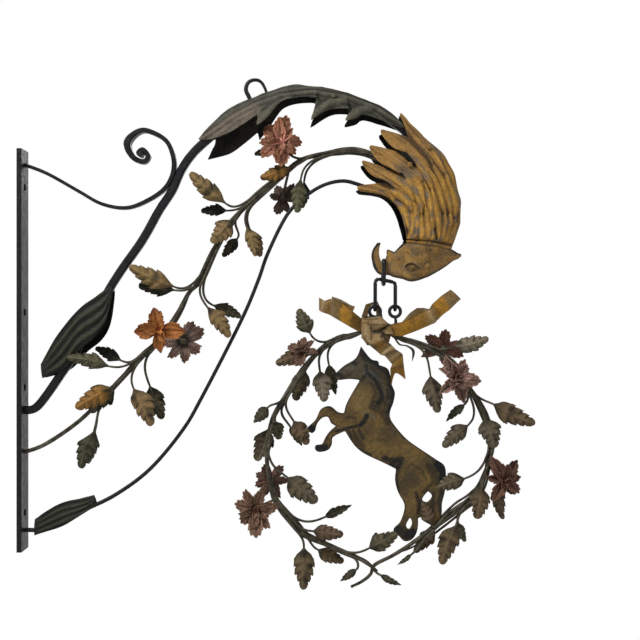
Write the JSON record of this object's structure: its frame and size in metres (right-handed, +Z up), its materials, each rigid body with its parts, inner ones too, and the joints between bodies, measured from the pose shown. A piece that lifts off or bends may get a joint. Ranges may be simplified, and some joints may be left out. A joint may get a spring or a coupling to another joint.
{
  "type": "hanging trade sign",
  "caption": "Wrought-iron wall bracket with a bird's head that holds, by ring and shackle, a hanging wreath with a sheet-metal horse; leaves and flowers in beaten, painted sheet.",
  "frame": {"origin": "middle of the wall plate's back face, between the outer bolts", "axes": "+X away from the wall along the arm, +Y through the sign from its front to its back, +Z up"},
  "size_m": [0.8213, 0.0754, 0.816],
  "materials": {
    "iron": "forged, dark, slightly rough",
    "olive_paint": "old matt paint",
    "gold_paint": "old matt ochre paint with umber wear",
    "ribbon_paint": "old matt yellow paint",
    "ochre_leaf_paint": "old matt paint",
    "brown_leaf_paint": "old matt paint",
    "rose_paint": "old matt paint",
    "rust_paint": "old matt paint",
    "horse_paint": "old matt paint with dark shading"
  },
  "bodies": {
    "bracket": {"beak_hook": "gold_paint", "brace_leaf": "olive_paint", "brace_rod": "iron", "eye_rivet": "gold_paint", "garland_flower_1": "rose_paint", "garland_flower_2": "rose_paint", "garland_flower_3": "rose_paint", "garland_flower_4": "rose_paint", "garland_leaf_1": "ochre_leaf_paint", "garland_leaf_10": "ochre_leaf_paint", "garland_leaf_11": "ochre_leaf_paint", "garland_leaf_2": "ochre_leaf_paint", "garland_leaf_3": "ochre_leaf_paint", "garland_leaf_4": "ochre_leaf_paint", "garland_leaf_5": "ochre_leaf_paint", "garland_leaf_6": "ochre_leaf_paint", "garland_leaf_7": "ochre_leaf_paint", "garland_leaf_8": "ochre_leaf_paint", "garland_leaf_9": "ochre_leaf_paint", "garland_stem": "olive_paint", "head_back": "gold_paint", "head_front": "gold_paint", "husk_back": "olive_paint", "husk_front": "olive_paint", "main_bar": "iron", "neck_back": "gold_paint", "neck_front": "gold_paint", "neck_rivets": "gold_paint", "saddle_leaf_back": "olive_paint", "saddle_leaf_front": "olive_paint", "saddle_rivet": "iron", "scroll_bar": "iron", "top_loop": "iron", "wall_plate": "iron"},
    "ring": {"beak_ring": "iron"},
    "shackle": {"shackle": "iron"},
    "wreath": {"left_branch": "olive_paint", "right_branch": "olive_paint", "hanging_eyes": "iron", "bow_knot": "ribbon_paint", "bow_left_ribbon": "ribbon_paint", "bow_right_ribbon": "ribbon_paint", "bow_tail": "ribbon_paint", "bow_tendril": "olive_paint", "horse_plate": "horse_paint", "left_upper_leaves": "brown_leaf_paint", "left_side_leaves": "brown_leaf_paint", "left_lower_leaves": "brown_leaf_paint", "left_end_leaves": "brown_leaf_paint", "right_upper_leaves": "brown_leaf_paint", "right_side_leaves": "brown_leaf_paint", "right_lower_leaves": "brown_leaf_paint", "right_end_leaves": "brown_leaf_paint", "wreath_flower_1": "rust_paint", "wreath_flower_2": "rust_paint", "wreath_flower_3": "rust_paint", "wreath_flower_4": "rust_paint", "wreath_flower_5": "rust_paint", "wreath_flower_6": "rust_paint"}
  },
  "joints": [
    {"name": "ring_swing", "type": "hinge", "parent": "bracket", "child": "ring", "pos_m": [0.5816, 0, 0.1432], "axis": [0, 1, 0], "range_deg": [-8, 8]},
    {"name": "shackle_swing", "type": "hinge", "parent": "ring", "child": "shackle", "pos_m": [0.5816, 0, 0.10512], "axis": [0, 1, 0], "range_deg": [-6, 6]},
    {"name": "wreath_swing", "type": "hinge", "parent": "shackle", "child": "wreath", "pos_m": [0.584, 0, 0.0704], "axis": [1, 0, 0], "range_deg": [-25, 25]}
  ]
}
